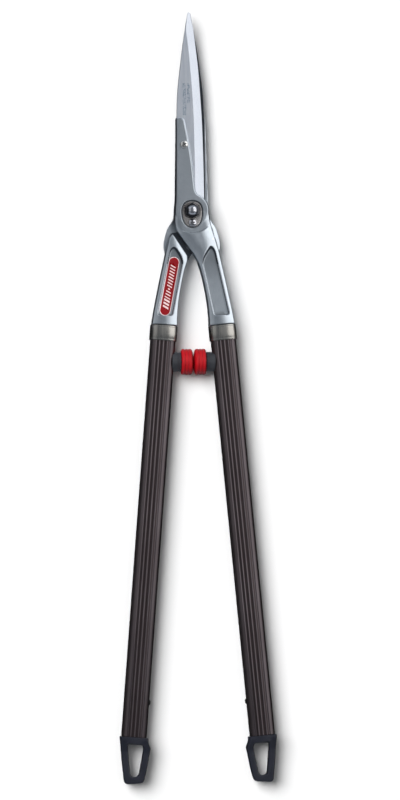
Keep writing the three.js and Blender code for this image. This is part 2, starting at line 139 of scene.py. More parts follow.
def common(a, b, r=0.0):
    """What two solids share, with its new edge rounded by about r."""
    return -join(-a, -b, r)


def cut(a, b, r=0.0):
    """The first solid less the second, with its new edge rounded by about r."""
    return common(a, -b, r)


def handle_frame(x, y):
    """The same place in the handle's frame: across it, and along it from the socket."""
    dx, dy = x - SOCKET[0], y - SOCKET[1]
    c, s = math.cos(SPLAY), math.sin(SPLAY)
    return dx * c + dy * s, dy * c - dx * s


def oval(x, z, grow=0.0):
    """Distance to the handle's oval section."""
    a, b = OVAL
    u, v = np.abs(x) / a, np.abs(z) / b
    size = (u**OVAL_POWER + v**OVAL_POWER + 1e-12)**(1 / OVAL_POWER)
    slope = np.hypot((u / size)**(OVAL_POWER - 1) / a, (v / size)**(OVAL_POWER - 1) / b) + 1e-9
    return (size - 1) / slope - grow


def net(values):
    """Surface nets: the points, in grid steps, and the quads of the surface where values are 0."""
    cells = np.array(values.shape) - 1
    points, quads = [], []
    for axis in range(3):
        here, ahead = [slice(None)] * 3, [slice(None)] * 3
        here[axis], ahead[axis] = slice(None, -1), slice(1, None)
        a, b = values[tuple(here)], values[tuple(ahead)]
        edge = np.argwhere((a < 0) != (b < 0))
        a, b = a[tuple(edge.T)], b[tuple(edge.T)]
        point = edge.astype(float)
        point[:, axis] += a / (a - b)
        ring = []
        for du, dv in ((-1, -1), (0, -1), (0, 0), (-1, 0)):
            cell = edge.copy()
            cell[:, (axis + 1) % 3] += du
            cell[:, (axis + 2) % 3] += dv
            ring.append(np.ravel_multi_index(cell.T, cells))
        ring = np.stack(ring, axis=1)
        ring[a >= 0] = ring[a >= 0][:, ::-1]
        quads.append(ring)
        points.append(np.repeat(point, 4, axis=0))
    quads, points = np.concatenate(quads), np.concatenate(points)
    index = np.unique(quads, return_inverse=True)[1].reshape(-1)
    count = np.bincount(index)
    verts = np.stack([np.bincount(index, weights=points[:, c]) / count for c in range(3)], axis=1)
    return verts, index.reshape(-1, 4)


def mesh_object(name, verts, faces):
    """A smooth-shaded object from points in millimetres."""
    mesh = bpy.data.meshes.new(name)
    mesh.from_pydata((np.asarray(verts) * MM).tolist(), [], faces)
    mesh.validate()
    mesh.shade_smooth()
    obj = bpy.data.objects.new(name, mesh)
    bpy.context.collection.objects.link(obj)
    return obj


def apply_modifiers(obj):
    """Makes the object's modifiers part of its mesh."""
    graph = bpy.context.evaluated_depsgraph_get()
    mesh = bpy.data.meshes.new_from_object(obj.evaluated_get(graph))
    obj.modifiers.clear()
    obj.data = mesh


# How far from the surface the painted shade in corners looks for the solid.
SHADE_REACHES = (0.8, 1.8, 3.6)


def carved(name, field, low, high, step, keep, extra_shade=None):
    """The surface of a distance field, thinned to a share of its faces, shaded by the field's slope.
    It carries painted shade, 1 deep in its corners where shade falls, and as deep as any extra painted
    shade it is given."""
    axes = [np.arange(a - step, b + 2 * step, step) for a, b in zip(low, high)]
    values = field(axes[0][:, None, None], axes[1][None, :, None], axes[2][None, None, :])
    verts, quads = net(np.broadcast_to(values, [len(a) for a in axes]))
    obj = mesh_object(name, verts * step + [a[0] for a in axes], quads.tolist())
    obj.modifiers.new("thin", "DECIMATE").ratio = keep
    apply_modifiers(obj)
    p = np.empty(3 * len(obj.data.vertices))
    obj.data.vertices.foreach_get("co", p)
    p = p.reshape(-1, 3) / MM
    reach = 0.25 * step
    slopes = []
    for axis in range(3):
        d = np.zeros(3)
        d[axis] = reach
        slopes.append(field(*(p + d).T) - field(*(p - d).T))
    normals = np.stack(slopes, axis=1)
    normals /= np.linalg.norm(normals, axis=1)[:, None] + 1e-12
    # Painted shade in corners and recesses: darker where the solid hems the surface in.
    painted_shade = sum(np.clip(1 - field(*(p + d * normals).T) / d, 0, 1) for d in SHADE_REACHES)
    painted_shade = painted_shade / len(SHADE_REACHES)
    if extra_shade:
        painted_shade = np.maximum(painted_shade, extra_shade(*p.T))
    obj.data.attributes.new("painted_shade", "FLOAT", "POINT").data.foreach_set("value", painted_shade)
    obj.data.shade_smooth()
    obj.data.normals_split_custom_set_from_vertices(normals.tolist())
    return obj


# ---- the cast holder ----

ARM = plan([
    (-13.4, 91.2),
    *bend((-9.2, 91.2), (-6.1, 91.2), (-5.4, 87.6)),
    *smooth([(-5.4, 87.6), (-2.9, 74), (-0.9, 62), (1.2, 48), (2.7, 34), (3.7, 24), (4.9, 18.5),
             (8.2, 13.8), (12.8, 9.2), (15.6, 4)]),
    (15.6, 4), (10, -8), (-12, -8),
    *smooth([(-16.8, 3), (-16.4, 14), (-15.6, 45), (-14.9, 75), (-14.7, 90)]),
    *bend((-14.7, 90), (-14.7, 91.2), (-13.4, 91.2)),
])
NECK_INNER = [(5, -50), (8.2, -60), (11.3, -74), (13.7, -89), (14.9, -101), (15.3, -110)]
NECK_OUTER = [(41, -112), (38.8, -99), (36.4, -87), (33.4, -72.5), (30.1, -57.5), (26.2, -40)]
SOCKET_END = [(15.2, -112.2), (41.1, -110)]
UPPER_NECK = plan([
    *smooth([(-16.9, 0), (-17.3, -8), (-16.8, -14.5), (-14.8, -20.5)]),
    *bend((-14.8, -20.5), (-14, -21.5), (-13, -23)), (-13, -23),
    *smooth([(0, -41), *NECK_INNER]),
    *SOCKET_END, *smooth(NECK_OUTER),
    (26.2, -40), (22.8, -28), (19.8, -18.5), (17.4, -9), (16.9, 0),
])
LOWER_NECK = plan([
    *bend((18.2, -22.7), (19.6, -20.6), (20.6, -23.5)), (20.6, -23.5),
    (22.8, -28), *smooth(NECK_OUTER[::-1]), *SOCKET_END[::-1],
    *smooth(NECK_INNER[::-1]), *bend((5, -50), (4, -44.6), (5.4, -42.6)), (5.4, -42.6),
])
FLANGE = plan([
    (14, 0), *smooth([(16.9, 0), (17.8, -7), (20.2, -11.5), (23.2, -16), (25.5, -22.5),
                      (27.2, -30), (27.4, -35.5), (26.4, -40.6)]),
    (26.4, -40.6), (20, -38),
])
PANEL = plan([
    *bend((21.9, -40), (18.6, -31.5), (14.6, -39.5), 10),
    *bend((14.6, -39.5), (9.2, -47), (10.4, -53), 8),
    (10.4, -53), *bend((20, -99), (20.6, -102), (23.6, -102)),
    *bend((31.4, -101.6), (35.2, -101.4), (34.5, -98)), (34.5, -98),
])
POCKET = plan([
    *bend((0, 9.8), (10.2, 9.6), (10.2, -1), 8), *bend((10.2, -1), (10, -16.4), (0, -16.6), 8),
    *bend((0, -16.6), (-10, -16.4), (-10.2, -1), 8), *bend((-10.2, -1), (-10.2, 9.6), (0, 9.8), 8),
])
SEAT = plan([(-13.4, -2), (-13.4, 34), (-13.9, 94), (30, 94), (30, -2)])

# The neck's two sides, each closed far away, for the crown between them.
FAR = 160
OUTER_SIDE = plan([*smooth(NECK_OUTER), (26.2, -40), (22.8, -28), (19.8, -18.5), (17.4, -9), (16.9, 0),
                   (16.9, FAR), (-FAR, FAR), (-FAR, -FAR), (46, -FAR)])
INNER_CURVE = [*smooth(NECK_INNER), (17, -FAR), (FAR, -FAR)]
UPPER_INNER_SIDE = plan([(FAR, FAR), (-16.9, FAR), (-16.9, 0), (-17, -12), (-13, -23), (0, -41),
                         *INNER_CURVE])
LOWER_INNER_SIDE = plan([(FAR, 200), (18.2, -22.7), (5.4, -42.6), (5, -50), *INNER_CURVE])


def panel_plan(x, y, z):
    """The panel's outline at a height: drafted most at its top end and on the side away from the axis."""
    deep = PANEL_RIM_Z - np.abs(z)
    return PANEL(x + np.where(z > 0, 0.24, -0.24) * deep, y + 0.75 * deep) + 0.27 * deep


def neck_solid(x, y, z, outline, inner_side, side):
    """One face's share of the neck, crowned towards its sides, with the long panel sunk in it."""
    outside = side * z
    crown = sum(CROWN * (1 - np.clip(-edge(x, y) / CROWN_WIDTH, 0, 1))**2
                for edge in (OUTER_SIDE, inner_side))
    solid = common(outline(x, y) + NECK_DRAFT * outside, outside - (NECK_Z - crown), 1.2)
    panel = common(panel_plan(x, y, z), PANEL_FLOOR_Z - outside, 0.8)
    return cut(solid, panel, 1.6)


def arm_top(y):
    """The height of the arm's top, level round the pivot and falling towards the arm's end."""
    share = np.clip((y - ARM_TAPER[0]) / (ARM_TAPER[1] - ARM_TAPER[0]), 0, 1)
    return PLATEAU_Z + (ARM_TIP_Z - PLATEAU_Z) * share


def holder_field(x, y, z):
    r = np.hypot(x, y)
    foot = join(ARM(x, y), r - BOSS_R, 1.5) + ARM_DRAFT * np.maximum(z - BLADE_TOP, 0)
    arm = common(foot, z - arm_top(y), 1.1)
    upper = neck_solid(x, y, z, UPPER_NECK, UPPER_INNER_SIDE, 1)
    upper = cut(upper, common(r - SPOTFACE_R, PLATEAU_Z - z, 0.4), 0.9)
    rim = FLANGE(x, y)
    flange = common(rim, z - (FLANGE_Z - 0.55 * np.maximum(rim, -6)), 0.6)
    above = common(join(join(arm, upper, 0.5), flange, 0.8), FACE_Z - z, 0.25)
    seat = np.minimum(SEAT(x, y), r - SEAT_R)
    above = cut(above, np.maximum(seat, z - SEAT_TOP), 0.15)
    lower = common(neck_solid(x, y, z, LOWER_NECK, LOWER_INNER_SIDE, -1), z - FACE_Z - 0.3, 0.25)
    across, along = handle_frame(x, y)
    tang = np.maximum(oval(across, z, -2.1), np.abs(along + 3) - 6)
    solid = join(join(above, lower, 0.3), tang)
    pocket = common(POCKET(x, y) - 0.12 * (z - POCKET_FLOOR_Z), POCKET_FLOOR_Z - z, 0.5)
    solid = cut(solid, pocket, 0.8)
    return cut(solid, r - PIVOT_BORE_R)


# The narrow dip between the two necks, where black shade is painted.
CANYON = plan([(12, -18), (18.4, -20.8), (20.8, -24), (6, -43), (5, -50), (-5, -47)])


def holder_shade(x, y, z):
    """The painted shade on the cast holder: black in the dip between the necks, less so on the inner face
    round the boss and on the panels' walls, above all at their top end, with a trace on the panels' floors,
    darkest towards their top end, and on the flat outer face of the arm and the boss, dimming its
    reflection."""
    r = np.hypot(x, y)
    dip = np.clip(1 - CANYON(x, y) / 1.5, 0, 1) * (z > -5.5) * (z < 0.7)
    ring = 0.75 * np.clip((31 - r) / 10, 0, 1) * (y < -2) * (np.abs(z - FACE_Z) < 0.5)
    at_top_end = y > PANEL_TOP_END_Y
    sunk = panel_plan(x, y, z) < np.where(at_top_end, 0.8, 0.3)
    up = np.abs(z) - PANEL_FLOOR_Z
    wall = sunk * np.clip((up - 0.35) / 0.4, 0, 1)
    wall = wall * np.clip((np.where(at_top_end, 2.8, 1.7) - up) / 0.3, 0, 1)
    wall = wall * np.where(at_top_end, 0.95, 0.72)
    panel = sunk * 0.52 * np.clip((y + 95) / 45, 0, 1)
    # Painted shade that dims what the flat outer face reflects.
    flat_face_shade = 0.37 * (z > 5) * np.where(y > 0, 1, np.clip(SPOTFACE_R + 0.5 - r, 0, 1))
    return np.max([dip, ring, wall, panel, flat_face_shade], axis=0)


# ---- the blade ----

# From heel to tip: y, then x of the spine, of the start of the bevel and of the edge.
BLADE_STATIONS = [
    (8, -12.6, 3.7, 12.6), (34, -12.9, 3.7, 12.4), (62, -13.2, 3.5, 12), (91, -13.4, 3.1, 11.2),
    (116, -12.4, 2.0, 9.8), (140, -9.7, 0.3, 8.2), (160, -7.1, -1.3, 6.1), (177, -4.4, -3.2, 4.2),
    (187, -2.7, -2.3, 2.4), (194.6, -1.3, -1.1, 1.1),
]
HEEL_R = 14
BLADE_TIP_R = 1.3
BEVEL_SLOPE = 0.33
EDGE_THICK = 0.4
DIMPLE_R = 2.2
BLADE_BORE_R = 11.3
FLATS, BEVEL, SPINE_STRIP = range(3)


def blade_lines():
    """Points (y, spine x, bevel x, edge x) from the round heel to the rounded tip."""
    heel = []
    for a in range(-84, 25, 6):
        y, half = HEEL_R * math.sin(math.radians(a)), HEEL_R * math.cos(math.radians(a))
        heel.append((y, -half, half - 0.6, half))
    columns = [smooth([(row[0], row[c]) for row in BLADE_STATIONS], 7) for c in (1, 2, 3)]
    body = [(a[0], a[1], b[1], c[1]) for a, b, c in zip(*columns)]
    body.append(BLADE_STATIONS[-1])
    start = BLADE_STATIONS[-1][0] - BLADE_TIP_R
    body = [row for row in body if row[0] < start - 0.2]
    y0, spine, bevel, edge = body[-1]
    for a in range(0, 91, 10):
        t = math.sin(math.radians(a))
        y = start + BLADE_TIP_R * t
        share = (y - y0) / (BLADE_STATIONS[-1][0] - y0)
        now = [p + (q - p) * share for p, q in zip((spine, bevel, edge), BLADE_STATIONS[-1][1:])]
        middle, wide = (now[0] + now[2]) / 2, max(math.cos(math.radians(a)), 0.05)
        body.append((y, *[middle + (x - middle) * wide for x in now]))
    return heel + body


def blade(name, skins):
    """The skins are for its flats, its bevel, and a dark strip on the inner face along its spine."""
    verts, faces, kinds = [], [], []
    rows = blade_lines()
    for y, spine, bevel, edge in rows:
        high = min(BLADE_TOP - FACE_Z, EDGE_THICK + (edge - bevel) * BEVEL_SLOPE)
        top, wide = FACE_Z + high, edge - bevel
        soft = min(0.25, 0.2 * high, 0.2 * (edge - spine))
        hollow = 0.02 * wide
        ring = [(spine + soft, FACE_Z), (spine, FACE_Z + soft), (spine, top - soft), (spine + soft, top),
                (bevel, top), (bevel + wide / 3, top - (high - EDGE_THICK) / 3 - hollow),
                (bevel + 2 * wide / 3, top - 2 * (high - EDGE_THICK) / 3 - hollow),
                (edge - 0.06, FACE_Z + EDGE_THICK), (edge, FACE_Z + 0.15), (edge - 0.1, FACE_Z),
                (spine + 0.22 * (edge - spine), FACE_Z)]
        verts += [(x, y, z) for x, z in ring]
    size = len(ring)
    for i in range(len(rows) - 1):
        for k in range(size):
            a, b = i * size + k, i * size + (k + 1) % size
            faces.append((a, a + size, b + size, b))
            if 4 <= k <= 7 and rows[i][0] > 5:
                kinds.append(BEVEL)
            elif k in (0, 10):
                kinds.append(SPINE_STRIP)
            else:
                kinds.append(FLATS)
    faces.append(tuple(range(size)))
    faces.append(tuple(reversed(range(len(verts) - size, len(verts)))))
    obj = mesh_object(name, verts, faces)
    for skin in skins:
        obj.data.materials.append(skin)
    obj.data.polygons.foreach_set("material_index", [*kinds, FLATS, FLATS])
    drill(obj, DIMPLE_R, (*BLADE_SCREW, FACE_Z), 0.9)
    drill(obj, BLADE_BORE_R, (0, 0, FACE_Z), 0.45)
    obj.data.set_sharp_from_angle(angle=math.radians(11))
    return obj


def drill(obj, r, place, deep):
    """Sinks a round hole, along z, to a depth either side of a place."""
    bpy.ops.mesh.primitive_cylinder_add(vertices=64, radius=r * MM, depth=2 * deep * MM,
                                        location=[c * MM for c in place])
    tool = bpy.context.object
    hole = obj.modifiers.new("hole", "BOOLEAN")
    hole.operation, hole.object, hole.solver = "DIFFERENCE", tool, "EXACT"
    apply_modifiers(obj)
    bpy.data.objects.remove(tool)


# ---- turned, drawn and moulded pieces ----

TURNED_SIDES = 96


def lofted(name, rings, closed=False):
    """A skin over rings of equal size. It is closed from last to first, or capped at its ends."""
    size = len(rings[0])
    verts = [point for ring in rings for point in ring]
    faces = []
    for i in range(len(rings) - (0 if closed else 1)):
        j = (i + 1) % len(rings)
        for k in range(size):
            m = (k + 1) % size
            faces.append((i * size + k, i * size + m, j * size + m, j * size + k))
    if not closed:
        faces.append(tuple(reversed(range(size))))
        faces.append(tuple(range(len(verts) - size, len(verts))))
    obj = mesh_object(name, verts, faces)
    tidy = bmesh.new()
    tidy.from_mesh(obj.data)
    bmesh.ops.recalc_face_normals(tidy, faces=tidy.faces)
    tidy.to_mesh(obj.data)
    tidy.free()
    obj.data.set_sharp_from_angle(angle=math.radians(32))
    return obj


def turned(name, profile):
    """A piece turned about z from (radius, height) pairs."""
    around = [2 * math.pi * i / TURNED_SIDES for i in range(TURNED_SIDES)]
    rings = [[(max(r, 0.01) * math.cos(a), max(r, 0.01) * math.sin(a), h) for a in around]
             for r, h in profile]
    return lofted(name, rings)


def moved(obj, matrix):
    """The object with its mesh moved in its own frame."""
    obj.data.transform(matrix)
    return obj


def shift(x, y, z):
    return Matrix.Translation(Vector((x, y, z)) * MM)


HANDLE = shift(*SOCKET, 0) @ Matrix.Rotation(SPLAY, 4, "Z")
ALONG_X = Matrix.Rotation(math.pi / 2, 4, "Y")


def groove(x):
    """How deep the section is sunk at x, from 0 to 1: four flat grooves between three round ribs."""
    from_rib = abs(abs(x) - FLUTE_PITCH * min(round(abs(x) / FLUTE_PITCH), 1))
    t = min(from_rib / 1.15, max((7.4 - abs(x)) / 0.9, 0), 1)
    return t * t * (3 - 2 * t)


def oval_points(grow=0.0, fluted=0.0):
    """The handle's section, grown by some distance, with its grooves sunk by some depth."""
    a, b = OVAL
    top = [math.acos(math.copysign(abs(x / a)**(OVAL_POWER / 2), x)) for x in np.linspace(8.1, -8.1, 103)]
    side = list(np.linspace(0, top[0], 14, endpoint=False))
    ring = []
    for t in side + top + [math.pi - t for t in side[:0:-1]]:
        u = math.copysign(abs(math.cos(t))**(2 / OVAL_POWER), math.cos(t))
        v = math.sin(t)**(2 / OVAL_POWER)
        nx = math.copysign(abs(u)**(OVAL_POWER - 1) / a, u)
        nz = v**(OVAL_POWER - 1) / b
        out = (grow - fluted * groove(a * u)) / math.hypot(nx, nz)
        ring.append((a * u + out * nx, b * v + out * nz))
    return ring + [(-x, -z) for x, z in ring]


def oval_ring(y, grow, fluted=0.0):
    return [(x, y, z) for x, z in oval_points(grow, fluted)]


# How much painted highlight the tube's sides get.
SIDES_SHEEN = 0.6


def tube(name):
    ends = [(-1.5, 0.2), (-1.7, 0), (-100, 0), (-200, 0), (-300, 0), (0.25 - TUBE_LONG, 0),
            (-TUBE_LONG, 0.2)]
    rings = [oval_ring(y, -inset, FLUTE_DEPTH) for y, inset in ends]
    rings += [oval_ring(y, -TUBE_WALL) for y in (-TUBE_LONG, -1.5)]
    obj = lofted(name, rings, closed=True)
    # A painted highlight: the ribs' tops and the tube's sides are marked to be paler.
    painted_sheen = obj.data.attributes.new("painted_sheen", "FLOAT", "POINT")
    sheen = [1 - groove(x) if abs(x) < 6 else SIDES_SHEEN for x, _ in oval_points()]
    painted_sheen.data.foreach_set("value", sheen * len(rings))
    return moved(obj, HANDLE)


def collar(name):
    outside = [(-0.3, 0.45), (-0.45, 0.8), (-0.9, 1.02), (-1.5, 1.04), (-1.75, 0.86), (-2.0, 0.86),
               (-2.25, 1), (-12.75, 1), (-13, 0.86), (-13.25, 0.86), (-13.5, 1.04), (-14.1, 1.02),
               (-14.8, 0.75), (-15, 0.3)]
    rings = [oval_ring(y, grow) for y, grow in outside]
    rings += [oval_ring(-15, 0.1), oval_ring(-1.3, 0.1), oval_ring(-1.3, -1.7), oval_ring(-0.3, -1.7)]
    return moved(lofted(name, rings, closed=True), HANDLE)


def bumper_pad(name):
    profile = [(0, 0.75), (3, 0.75), (3.4, 0.3), (5, 0.2), (7.5, 0.5), (10, 0.95), (11.5, 1.5),
               (12.1, 2.1)]
    for rib in range(3):
        start = 2.3 + rib * 3.2
        profile += [(12.35, start), (12.5, start + 0.5), (12.5, start + 2), (12.35, start + 2.5)]
        if rib < 2:
            profile += [(11.95, start + 2.65), (11.9, start + 2.85), (11.95, start + 3.05)]
    profile += [(11.9, 11.6), (11.5, 11.8), (0, 11.8)]
    return moved(turned(name, profile), shift(0, BUMPER_Y, 0) @ ALONG_X)


def bumper_stem(name):
    profile = [(0, 12), (8.6, 12), (9.2, 12.25), (9.4, 12.9), (9.4, 14.2), (9.2, 14.5), (9.2, 14.8),
               (9.4, 15.1), (9.4, 20.4), (9, 20.9), (0, 20.9)]
    return moved(turned(name, profile), shift(0, BUMPER_Y, 0) @ ALONG_X)


CAP_OUTLINE = plan([
    (13.3, 2), (13.2, -1), (10.2, -22), (6.6, -41.5),
    *bend((6.6, -41.5), (5.9, -45.9), (2, -45.3)), (2, -45.3), (-9, -43.7),
    *bend((-9, -43.7), (-12.6, -43.2), (-13.1, -39)),
    *smooth([(-13.1, -39), (-14.6, -30), (-16.4, -12.8), (-16.5, -9.6), (-14.8, -6), (-13.8, -3.5),
             (-13.3, 2)]),
])
LOOP_HOLE = plan([
    *bend((3.6, -7), (5.7, -7), (5.3, -9.8)), (5.3, -9.8), (1.5, -33.5),
    *bend((1.5, -33.5), (0.7, -38.1), (-3, -38.1)), *bend((-3, -38.1), (-7.1, -38.1), (-7.8, -33)),
    (-7.8, -33), *bend((-10.1, -12), (-10.5, -10.4), (-9.6, -8.4)),
    *bend((-9.6, -8.4), (-9, -7), (-7.6, -7)), (-7.6, -7),
])
CAP_START = -TUBE_LONG - 0.3
LOOP_HALF_THICK = 6.2
CAP_SWELL = 3.9


def cap_field(x, y, z):
    along = y - CAP_START
    outline = CAP_OUTLINE(x, along)
    t = np.clip((along + 15) / 13, 0, 1)
    rise = CAP_SWELL * t**2 * (3 - 2 * t)
    loop = common(outline, np.abs(z) - LOOP_HALF_THICK - rise, 2)
    loop = np.maximum(loop, along)
    flange = common(common(oval(x, z, 1), outline, 0.6), np.maximum(along, -along - 6.2), 0.9)
    solid = join(common(loop, oval(x, z, 6), 1), flange, 0.6)
    plug = np.maximum(oval(x, z, -2), np.maximum(along - 3, -along - 3))
    return np.minimum(cut(solid, LOOP_HOLE(x, along), 1.8), plug)


def end_cap(name):
    low, high = (-18, CAP_START - 47, -11), (15, CAP_START + 4, 11)
    return moved(carved(name, cap_field, low, high, 0.42, 0.5), HANDLE)


def pan_head(name, r, high, shank_r):
    """A pan head with a tapered cross recess. Its underside is at z = 0."""
    ball = (r**2 + high**2) / (2 * high) * 1.25

    def field(x, y, z):
        round_off = np.hypot(x, y)
        top = np.sqrt(x**2 + y**2 + (z - (high - ball))**2) - ball
        head = common(common(round_off - r, top, 0.15 * r), -z, 0.1)
        arm_long, arm_wide = 0.62 * r - 0.25 * (high - z), 0.13 * r - 0.1 * (high - z)
        cross = np.minimum(np.maximum(np.abs(x) - arm_long, np.abs(y) - arm_wide),
                           np.maximum(np.abs(y) - arm_long, np.abs(x) - arm_wide))
        cross = join(cross, round_off - 0.26 * r + 0.3 * (high - z), 0.1)
        recess = common(cross, 0.25 * high - z, 0.1)
        shank = np.maximum(round_off - shank_r, np.maximum(z - 0.3, -1.2 - z))
        return np.minimum(cut(head, recess, 0.12), shank)

    return carved(name, field, (-r - 0.3, -r - 0.3, -1.5), (r + 0.3, r + 0.3, high + 0.4), 0.13, 0.6)


def hexagon(x, y, flats):
    """Distance to a hexagon with corners on the y axis."""
    along = np.abs(x)
    slant = 0.5 * np.abs(x) + math.sqrt(0.75) * np.abs(y)
    return np.maximum(along, slant) - flats / 2


def nut_field(x, y, z):
    r = np.hypot(x, y)
    sides = common(hexagon(x, y, NUT_FLATS), 0.87 * (z - 11.6) + 0.5 * (r - 6.3), 0.15)
    body = common(common(sides, z - 11.7, 0.3), 6.7 - z, 0.1)
    dome = common(np.sqrt(x**2 + y**2 + (z - 9.9)**2) - 5.7, r - 5.45, 0.5)
    dome = np.maximum(dome, 8 - z)
    return join(body, dome, 0.35)


def plate_field(x, y, z):
    plate = common(POCKET(x, y) + 0.75, np.maximum(z - LOCK_PLATE_TOP, 6.7 - z), 0.6)
    dish = common(hexagon(x, y, NUT_FLATS + 2.2), LOCK_PLATE_TOP - 0.35 - z, 0.2)
    return cut(cut(plate, dish, 0.3), hexagon(x, y, NUT_FLATS + 0.3), 0.2)


def bolt_head(name):
    profile = [(0, -6), (8.5, -7.75), (8.5, -9.3), (8.3, -9.9), (7.7, -10.2), (4.2, -10.3), (3.9, -10.05),
               (3.2, -9.6), (0, -9.5)]
    return turned(name, profile)


# ---- materials ----

def node(tree, kind, inputs=(), out=0, **settings):
    """A new node, with its inputs linked or set by name or number. It gives one output."""
    made = tree.nodes.new(kind)
    for name, value in settings.items():
        setattr(made, name, value)
    for key, value in dict(inputs).items():
        if isinstance(value, bpy.types.NodeSocket):
            tree.links.new(value, made.inputs[key])
        else:
            made.inputs[key].default_value = value
    return made.outputs[out]


def material(name, **constants):
    """A material, its nodes and its shader, with the shader's sockets set by name."""
    made = bpy.data.materials.new(name)
    made.use_nodes = True
    shader = made.node_tree.nodes["Principled BSDF"]
    for key, value in constants.items():
        shader.inputs[key.replace("_", " ")].default_value = value
    return made, made.node_tree, shader


def placed(tree, stretch=(1, 1, 1)):
    """Places on the piece in its own frame, in millimetres times a stretch."""
    where = node(tree, "ShaderNodeTexCoord", out=3)
    return node(tree, "ShaderNodeMapping", {0: where, 3: [1 / MM * s for s in stretch]})


def noise(tree, where, scale, detail=3, rough=0.55):
    return node(tree, "ShaderNodeTexNoise",
                {"Vector": where, "Scale": scale, "Detail": detail, "Roughness": rough})


def ramp(tree, value, low, high, to_low=0.0, to_high=1.0):
    """A value taken from one range to another, and held at its ends."""
    return node(tree, "ShaderNodeMapRange", {0: value, 1: low, 2: high, 3: to_low, 4: to_high})


def blend(tree, share, first, second):
    """A mix of two colours, each a linked socket or three numbers."""
    first, second = ((*c, 1) if isinstance(c, tuple) else c for c in (first, second))
    return node(tree, "ShaderNodeMix", {0: share, 6: first, 7: second}, out=2, data_type="RGBA")


def bumped(tree, shader, height, deep, strength):
    """Gives the shader a fine relief, with its depth in millimetres."""
    bump = node(tree, "ShaderNodeBump", {"Height": height, "Distance": deep * MM, "Strength": strength})
    tree.links.new(bump, shader.inputs["Normal"])


def edge_highlight(tree):
    """1 on the sharp outer edges, where a highlight is painted."""
    return ramp(tree, node(tree, "ShaderNodeNewGeometry", out=7), 0.52, 0.6)


def attribute(tree, name):
    return node(tree, "ShaderNodeAttribute", out=2, attribute_name=name)


def with_painted_shade(tree, color, dark):
    """The colour, almost wholly the dark one where the most shade is painted."""
    return blend(tree, ramp(tree, attribute(tree, "painted_shade"), 0.28, 0.8, 0, 0.92), color, dark)


def cast_metal():
    made, tree, shader = material("cast_aluminium", Metallic=1.0)
    where = placed(tree)
    broad, fine = noise(tree, where, 0.06, 4), noise(tree, where, 2.6, 2, 0.7)
    mottle = noise(tree, where, 0.55, 3, 0.7)
    grain = blend(tree, ramp(tree, broad, 0.35, 0.65), (0.53, 0.58, 0.62), (0.60, 0.65, 0.69))
    grain = blend(tree, ramp(tree, mottle, 0.35, 0.7, 0, 0.35), grain, (0.66, 0.68, 0.72))
    # A painted highlight lightens the sharp edges, and painted shade darkens the corners and the dip.
    bright = blend(tree, edge_highlight(tree), grain, (0.82, 0.85, 0.88))
    tree.links.new(with_painted_shade(tree, bright, (0.035, 0.04, 0.05)), shader.inputs["Base Color"])
    tree.links.new(ramp(tree, mottle, 0.3, 0.7, 0.30, 0.42), shader.inputs["Roughness"])
    bumped(tree, shader, fine, 0.06, 0.5)
    return made


def band(tree, value, low, high):
    """1 from one value to another, fading out just past them."""
    away = node(tree, "ShaderNodeMath", {0: value, 1: (low + high) / 2}, operation="SUBTRACT")
    away = node(tree, "ShaderNodeMath", {0: away}, operation="ABSOLUTE")
    half = (high - low) / 2
    return ramp(tree, away, half + 0.25, half)


def product(tree, first, *others):
    for other in others:
        first = node(tree, "ShaderNodeMath", {0: first, 1: other}, operation="MULTIPLY")
    return first


def marks(tree):
    """1 on two columns of small illegible etched marks on the outer face."""
    where = placed(tree)
    x, y, z = (node(tree, "ShaderNodeSeparateXYZ", {0: where}, out=axis) for axis in range(3))
    strokes = ramp(tree, noise(tree, where, 1.1, 1), 0.47, 0.55)
    left = product(tree, band(tree, x, -7.3, -4.2), band(tree, y, 94, 125))
    right = product(tree, band(tree, x, -2.9, -0.6), band(tree, y, 106, 125))
    both = node(tree, "ShaderNodeMath", {0: left, 1: right}, operation="MAXIMUM")
    return product(tree, both, strokes, ramp(tree, z, 1.4, 1.6))


def brushed(name, low, high, rough, stretch, deep=0.012, dark=None, etched=False):
    """Metal with fine lines, longest along the axis where stretch is least."""
    made, tree, shader = material(name, Metallic=1.0)
    lines = noise(tree, placed(tree, stretch), 1.0, 3, 0.6)
    broad = noise(tree, placed(tree), 0.05, 3)
    shade = node(tree, "ShaderNodeMath", {0: lines, 1: broad}, operation="ADD")
    color = blend(tree, ramp(tree, shade, 0.75, 1.25), low, high)
    # Given a dark colour, the metal takes painted shade in its corners and where more is painted.
    if dark:
        color = with_painted_shade(tree, color, dark)
    if etched:
        color = blend(tree, product(tree, marks(tree), 0.75), color, (0.33, 0.44, 0.55))
    tree.links.new(color, shader.inputs["Base Color"])
    tree.links.new(ramp(tree, lines, 0.25, 0.75, rough - 0.06, rough + 0.07), shader.inputs["Roughness"])
    bumped(tree, shader, lines, deep, 0.6)
    return made


def anodised():
    """Brown anodised aluminium, drawn lengthwise, with a painted highlight that makes the ribs' tops and
    the sides paler.
    """
    made, tree, shader = material("brown_anodised", Metallic=0.9)
    lines = noise(tree, placed(tree, (1.6, 0.012, 1.6)), 1.0, 3, 0.6)
    broad = noise(tree, placed(tree), 0.02, 3)
    base = blend(tree, ramp(tree, lines, 0.3, 0.7), (0.046, 0.034, 0.035), (0.064, 0.049, 0.051))
    sheen = blend(tree, ramp(tree, broad, 0.3, 0.7), (0.120, 0.101, 0.107), (0.162, 0.140, 0.148))
    color = blend(tree, ramp(tree, attribute(tree, "painted_sheen"), 0.25, 0.9), base, sheen)
    tree.links.new(color, shader.inputs["Base Color"])
    tree.links.new(ramp(tree, lines, 0.25, 0.75, 0.28, 0.38), shader.inputs["Roughness"])
    bumped(tree, shader, lines, 0.01, 0.6)
    return made


